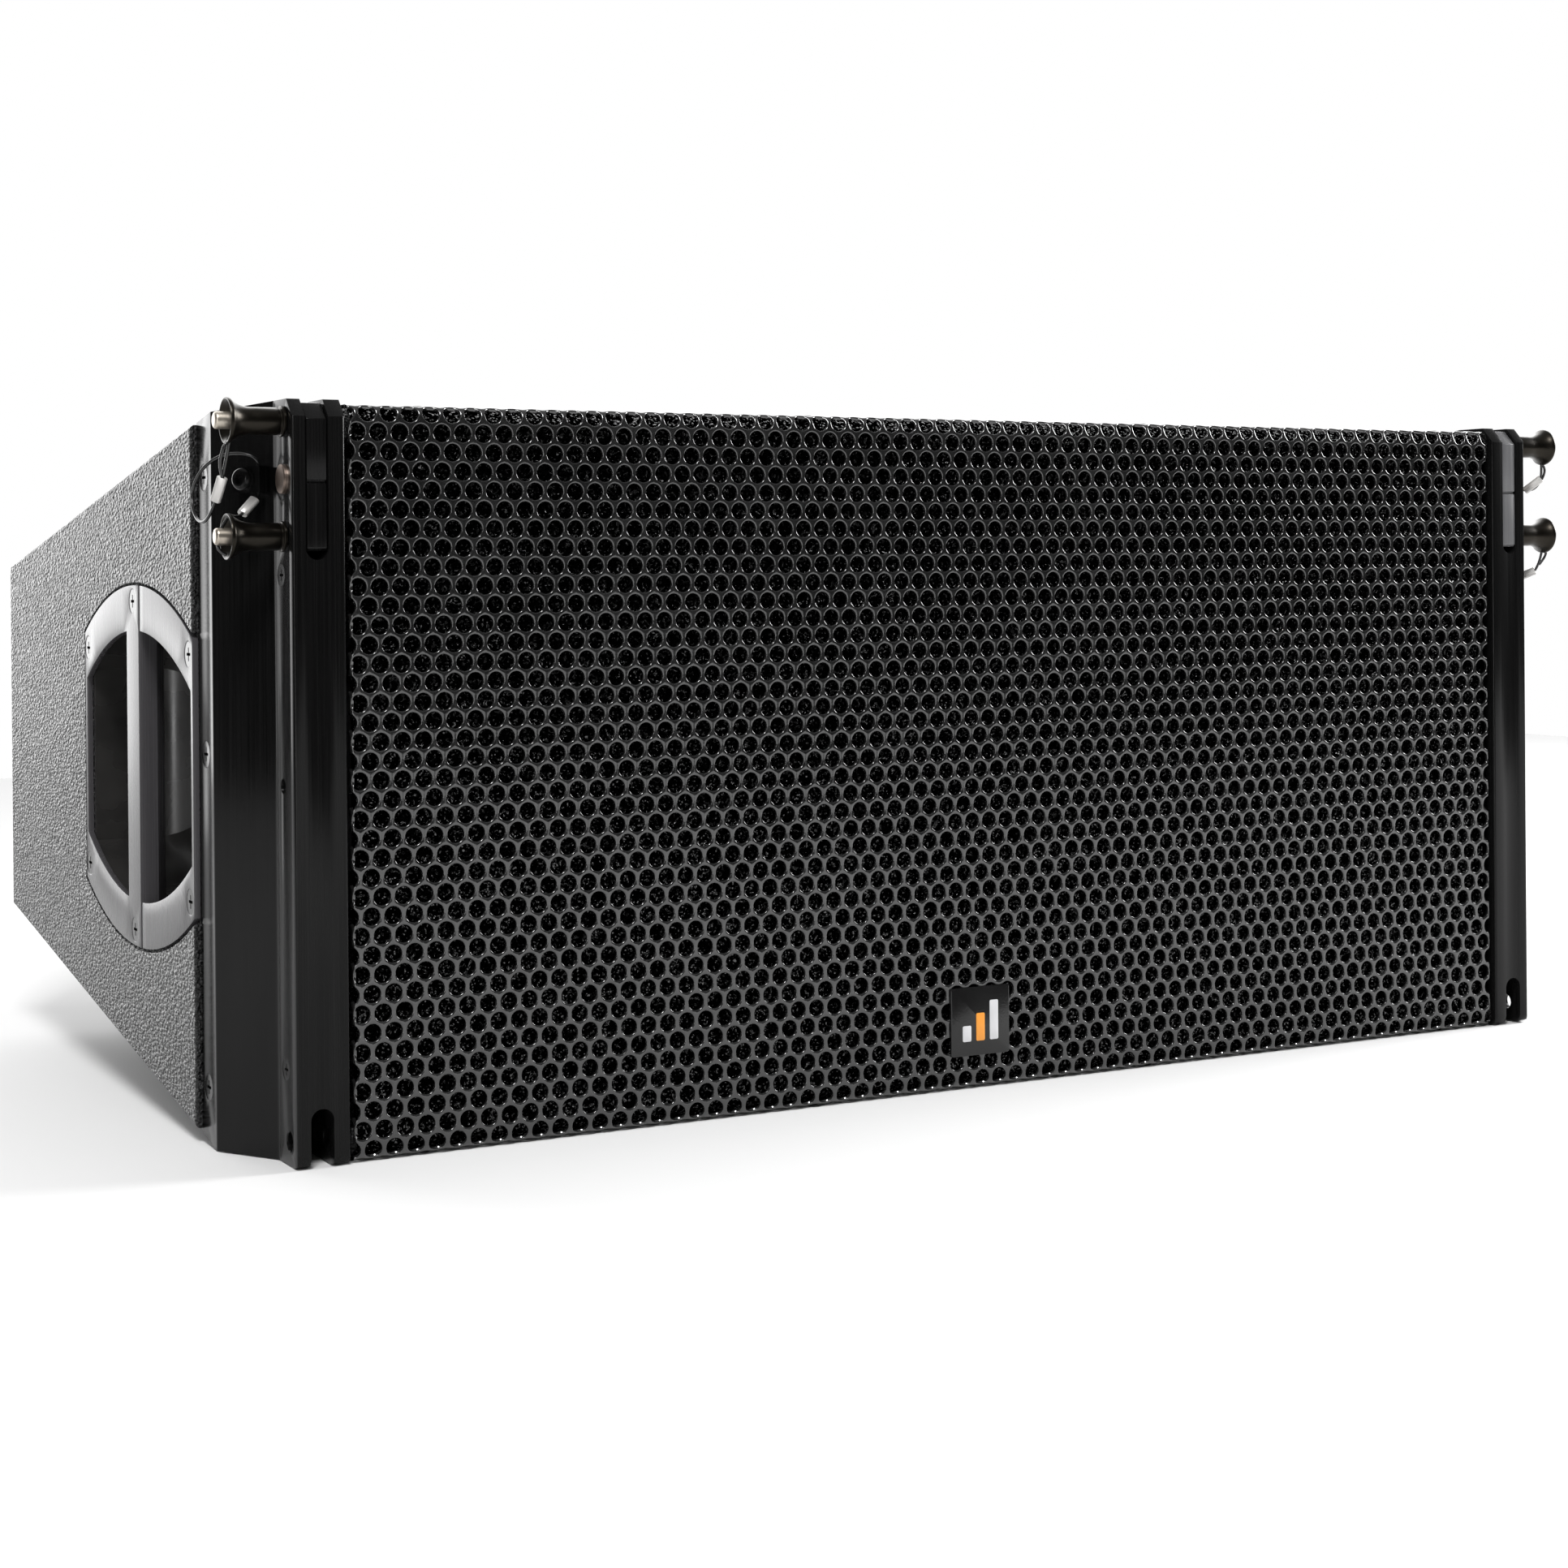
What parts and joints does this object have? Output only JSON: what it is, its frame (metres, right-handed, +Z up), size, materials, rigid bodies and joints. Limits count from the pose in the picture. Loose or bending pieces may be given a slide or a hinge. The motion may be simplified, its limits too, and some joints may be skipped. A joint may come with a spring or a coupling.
{
  "type": "line array speaker",
  "caption": "Tapered line array loudspeaker element with a perforated grille, front rigging columns with ball-lock pins, recessed side handles and a rear splay link.",
  "frame": {"origin": "on the bottom plane, under the middle of the box around the element without its lanyards", "axes": "+X along the width to the viewer's right, +Y from the grille to the back, +Z up"},
  "size_m": [0.7846, 0.5, 0.3403],
  "materials": {
    "cabinet_paint": "black textured spray paint over plywood",
    "birch_plywood": "bare birch plywood",
    "column_black": "black anodised, satin, brushed along its length",
    "link_grey": "worn grey anodised",
    "guide_pin_steel": "brown-grey turned steel",
    "black_screw": "black oxide",
    "pin_bronze": "dark bronze-black anodised, glossy",
    "button_steel": "turned stainless steel",
    "lanyard_black": "black coated wire, glossy",
    "handle_metal": "satin dark grey anodised",
    "cup_black": "moulded, satin",
    "grille_black": "semi-gloss black powder coat",
    "foam_black": "open-cell acoustic foam",
    "badge_black": "black with plain grey bars",
    "basket_metal": "black painted casting",
    "magnet_steel": "plated steel",
    "surround_rubber": "matte",
    "cone_paper": "coated pulp",
    "horn_plastic": "moulded, satin",
    "circuit_board": "lacquered board",
    "crossover_copper": "enamelled windings and cases",
    "input_metal": "black powder coat",
    "socket_plastic": "moulded",
    "rear_steel": "black powder coat"
  },
  "bodies": {
    "cabinet": {"badge_plate": "badge_black", "baffle_screws": "black_screw", "bottom_panel": "cabinet_paint", "compression_driver": "magnet_steel", "crossover_board": "circuit_board", "crossover_parts": "crossover_copper", "driver_bolts": "black_screw", "driver_flange": "basket_metal", "frame_screws": "black_screw", "front_baffle": "cabinet_paint", "front_frame_left": "column_black", "front_frame_right": "column_black", "grille": "grille_black", "grille_foam": "foam_black", "grille_screws": "black_screw", "handle_cup_left": "cup_black", "handle_cup_right": "cup_black", "handle_plate_left": "handle_metal", "handle_plate_right": "handle_metal", "handle_screws": "black_screw", "horn_waveguide": "horn_plastic", "input_plate": "input_metal", "input_screws": "black_screw", "input_sockets": "socket_plastic", "internal_braces": "birch_plywood", "lanyard_lugs": "column_black", "link_bar_left": "column_black", "link_bar_right": "link_grey", "link_guide_pins": "guide_pin_steel", "lug_screws": "black_screw", "rear_bracket": "rear_steel", "rear_bracket_screws": "black_screw", "rear_link_bolt": "black_screw", "rear_panel": "cabinet_paint", "side_panel_left": "cabinet_paint", "side_panel_right": "cabinet_paint", "top_panel": "cabinet_paint", "woofer_basket_left": "basket_metal", "woofer_basket_right": "basket_metal", "woofer_magnet_left": "magnet_steel", "woofer_magnet_right": "magnet_steel", "woofer_surround_left": "surround_rubber", "woofer_surround_right": "surround_rubber"},
    "upper_left_pin": {"pin_upper_left": "pin_bronze", "lanyard_upper_left": "lanyard_black"},
    "upper_left_button": {"button_upper_left": "button_steel"},
    "lower_left_pin": {"pin_lower_left": "pin_bronze", "lanyard_lower_left": "lanyard_black"},
    "lower_left_button": {"button_lower_left": "button_steel"},
    "left_cone": {"woofer_cone_left": "cone_paper"},
    "upper_right_pin": {"pin_upper_right": "pin_bronze", "lanyard_upper_right": "lanyard_black"},
    "upper_right_button": {"button_upper_right": "button_steel"},
    "lower_right_pin": {"pin_lower_right": "pin_bronze", "lanyard_lower_right": "lanyard_black"},
    "lower_right_button": {"button_lower_right": "button_steel"},
    "right_cone": {"woofer_cone_right": "cone_paper"},
    "rear_pin": {"pin_rear": "pin_bronze"},
    "rear_button": {"button_rear": "button_steel"},
    "rear_link": {"rear_link": "rear_steel"}
  },
  "joints": [
    {"name": "upper_left_pin_slide", "type": "slide", "parent": "cabinet", "child": "upper_left_pin", "axis": [-1, 0, 0], "range_m": [0, 0.036]},
    {"name": "upper_left_button_press", "type": "slide", "parent": "upper_left_pin", "child": "upper_left_button", "axis": [1, 0, 0], "range_m": [0, 0.004], "stiffness_N_per_m": 400},
    {"name": "lower_left_pin_slide", "type": "slide", "parent": "cabinet", "child": "lower_left_pin", "axis": [-1, 0, 0], "range_m": [0, 0.036]},
    {"name": "lower_left_button_press", "type": "slide", "parent": "lower_left_pin", "child": "lower_left_button", "axis": [1, 0, 0], "range_m": [0, 0.004], "stiffness_N_per_m": 400},
    {"name": "left_cone_travel", "type": "slide", "parent": "cabinet", "child": "left_cone", "axis": [0, 1, 0], "range_m": [-0.005, 0.005], "stiffness_N_per_m": 2500},
    {"name": "upper_right_pin_slide", "type": "slide", "parent": "cabinet", "child": "upper_right_pin", "axis": [1, 0, 0], "range_m": [0, 0.036]},
    {"name": "upper_right_button_press", "type": "slide", "parent": "upper_right_pin", "child": "upper_right_button", "axis": [-1, 0, 0], "range_m": [0, 0.004], "stiffness_N_per_m": 400},
    {"name": "lower_right_pin_slide", "type": "slide", "parent": "cabinet", "child": "lower_right_pin", "axis": [1, 0, 0], "range_m": [0, 0.036]},
    {"name": "lower_right_button_press", "type": "slide", "parent": "lower_right_pin", "child": "lower_right_button", "axis": [-1, 0, 0], "range_m": [0, 0.004], "stiffness_N_per_m": 400},
    {"name": "right_cone_travel", "type": "slide", "parent": "cabinet", "child": "right_cone", "axis": [0, 1, 0], "range_m": [-0.005, 0.005], "stiffness_N_per_m": 2500},
    {"name": "rear_pin_slide", "type": "slide", "parent": "cabinet", "child": "rear_pin", "axis": [-1, 0, 0], "range_m": [0, 0.033]},
    {"name": "rear_button_press", "type": "slide", "parent": "rear_pin", "child": "rear_button", "axis": [1, 0, 0], "range_m": [0, 0.004], "stiffness_N_per_m": 400},
    {"name": "rear_link_lift", "type": "slide", "parent": "cabinet", "child": "rear_link", "axis": [0, 0, 1], "range_m": [0, 0.1]}
  ]
}
